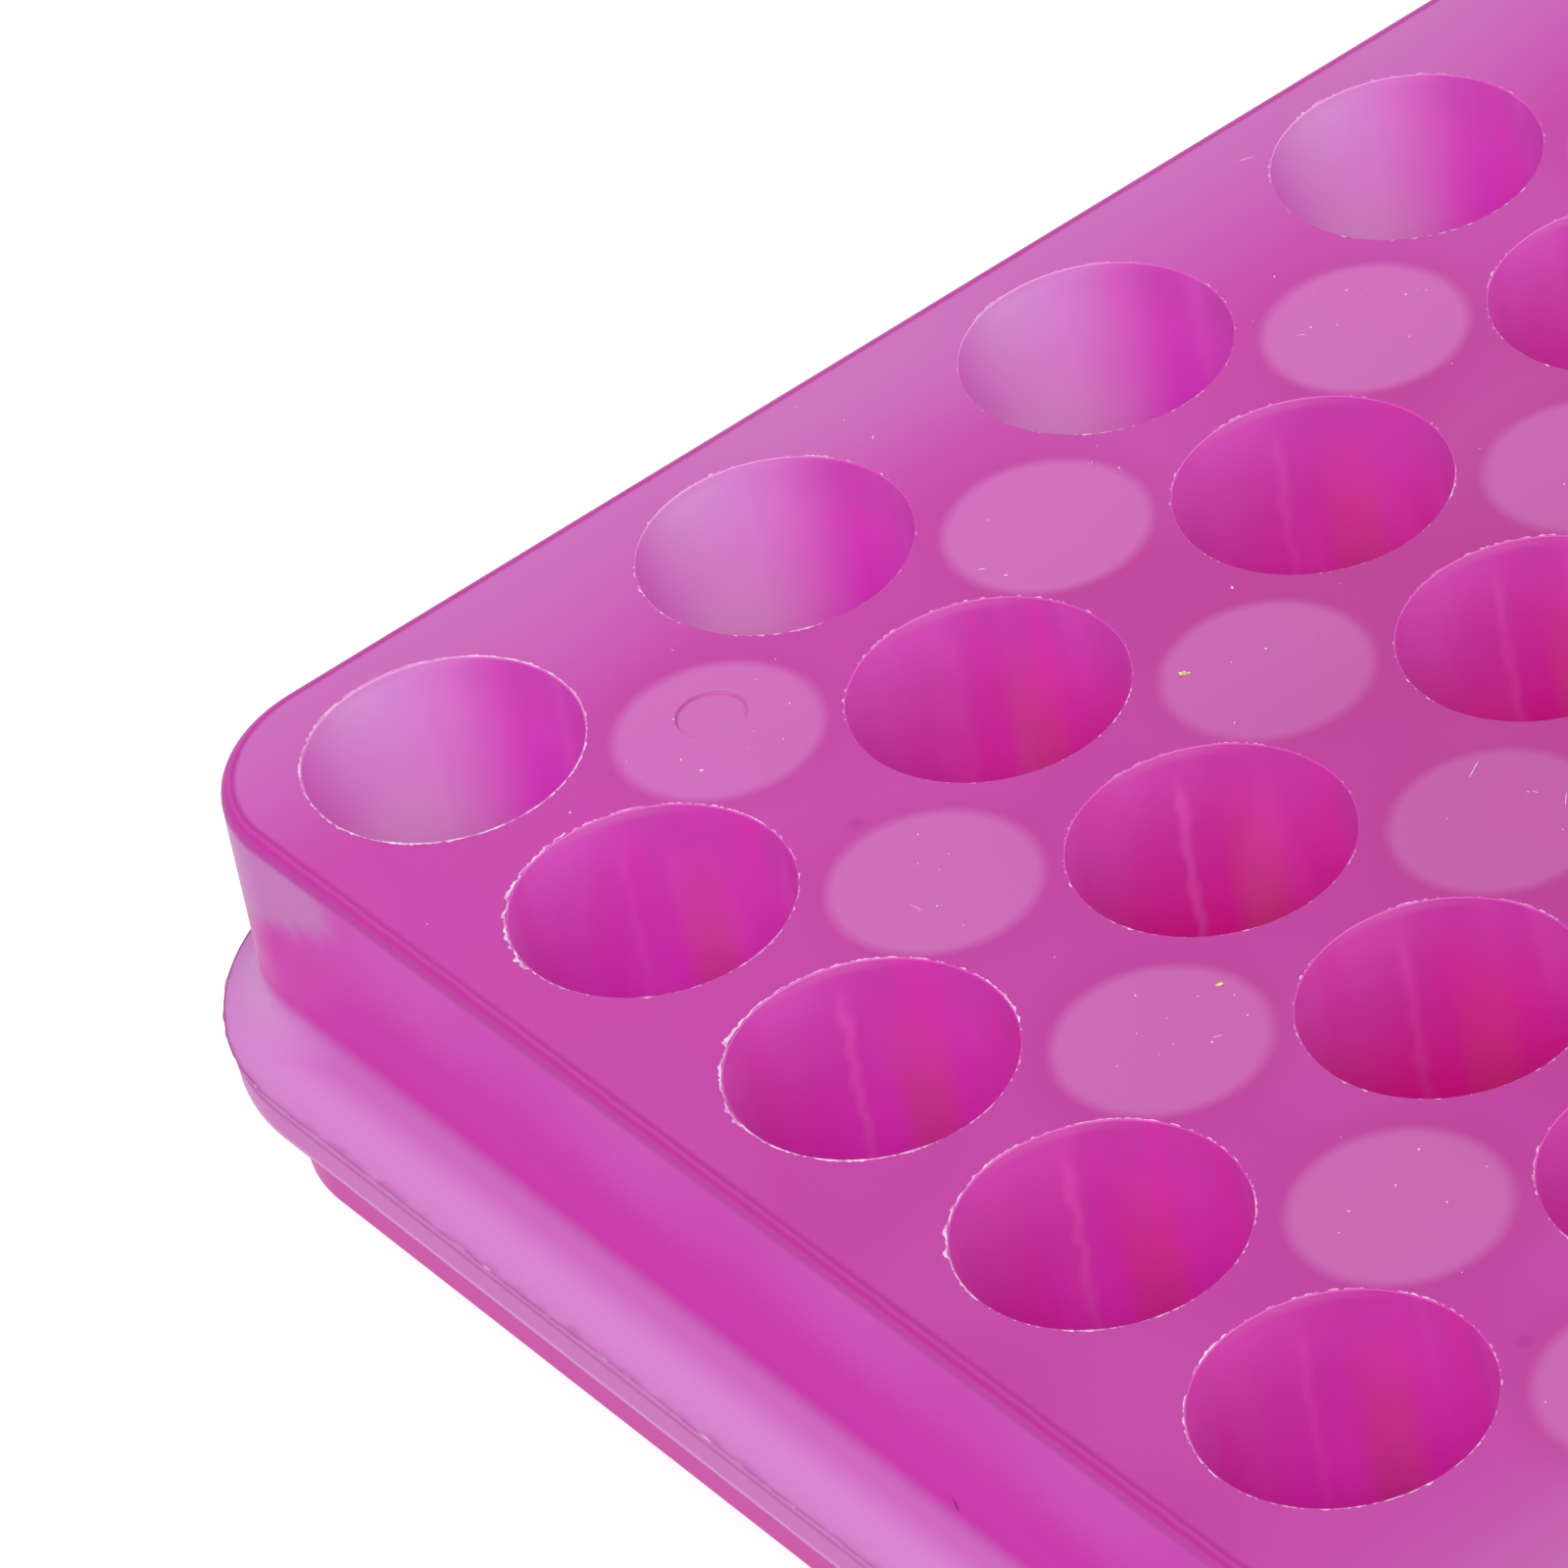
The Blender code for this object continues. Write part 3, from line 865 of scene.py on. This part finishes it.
floor = bmesh.new()
bmesh.ops.create_circle(floor, cap_ends=True, segments=64, radius=FLOOR_REACH)
floor = mesh_object("floor", floor)
sheet, sheet_shader, start = new_material("white_floor", 0.8, 0.0)
sheet_shader.inputs["Base Color"].default_value = FLOOR_GREY
glow = start.node("Emission", {"Color": WHITE, "Strength": FLOOR_GLOW})
lit = Field(sheet.node_tree, sheet_shader.outputs[0])
brightened = start.node("AddShader", {0: lit, 1: glow})
shown = start.node("MixShader", {0: seen_directly(start), 1: lit, 2: brightened})
link(shown, sheet.node_tree.nodes["Material Output"], "Surface")
sheet.cycles.emission_sampling = "NONE"
floor.data.materials.append(sheet)


# The light.
# A pale room all round, with two soft boxes above. The room is even and the lamps are
# few, so no search for the strongest light is needed, and renders take less time.
ROOM_STRENGTH = 0.59
world = bpy.data.worlds.new("pale_room")
bpy.context.scene.world = world
world.use_nodes = True
room = world.node_tree.nodes["Background"]
room.inputs["Color"].default_value = WHITE
seen = seen_directly(Field(world.node_tree))
link(seen * (1.0 - ROOM_STRENGTH) + ROOM_STRENGTH, room, "Strength")
world.cycles.sampling_method = "NONE"
bpy.context.scene.cycles.use_light_tree = False

BOX_AIM = Vector((0.0, 0.0, 0.01))
BOX_SIZE = 0.9


def add_soft_box(name, place, power):
    """A square lamp that faces the rack."""
    lamp = bpy.data.lights.new(name, "AREA")
    lamp.shape = "SQUARE"
    lamp.size = BOX_SIZE
    lamp.energy = power
    item = bpy.data.objects.new(name, lamp)
    item.location = place
    item.rotation_euler = (BOX_AIM - Vector(place)).to_track_quat("-Z", "Y").to_euler()
    bpy.context.scene.collection.objects.link(item)


add_soft_box("left_box", (-1.1, -0.1, 0.8), 5.4)
add_soft_box("front_box", (-0.5, -0.8, 1.2), 9.1)


# The camera.
# A long lens close to one corner, turned a little about its own axis.
CAMERA_PLACE = Vector((-0.19838, -0.24999, 0.27201))
CAMERA_RIGHT = Vector((0.77728938, -0.60922809, -0.15704252))
CAMERA_UP = Vector((0.48771078, 0.42579475, 0.76212665))
CAMERA_AHEAD = Vector((0.39744108, 0.66898428, -0.62809285))
CAMERA_LENS = 235.708
lens = bpy.data.cameras.new("camera")
lens.lens = CAMERA_LENS
lens.sensor_width = 36.0
lens.clip_start = 0.01
lens.clip_end = 50.0
camera = bpy.data.objects.new("camera", lens)
turned = Matrix((CAMERA_RIGHT, CAMERA_UP, -CAMERA_AHEAD)).transposed().to_4x4()
camera.matrix_world = Matrix.Translation(CAMERA_PLACE) @ turned
bpy.context.scene.collection.objects.link(camera)
bpy.context.scene.camera = camera

bpy.context.scene.view_settings.view_transform = "Standard"
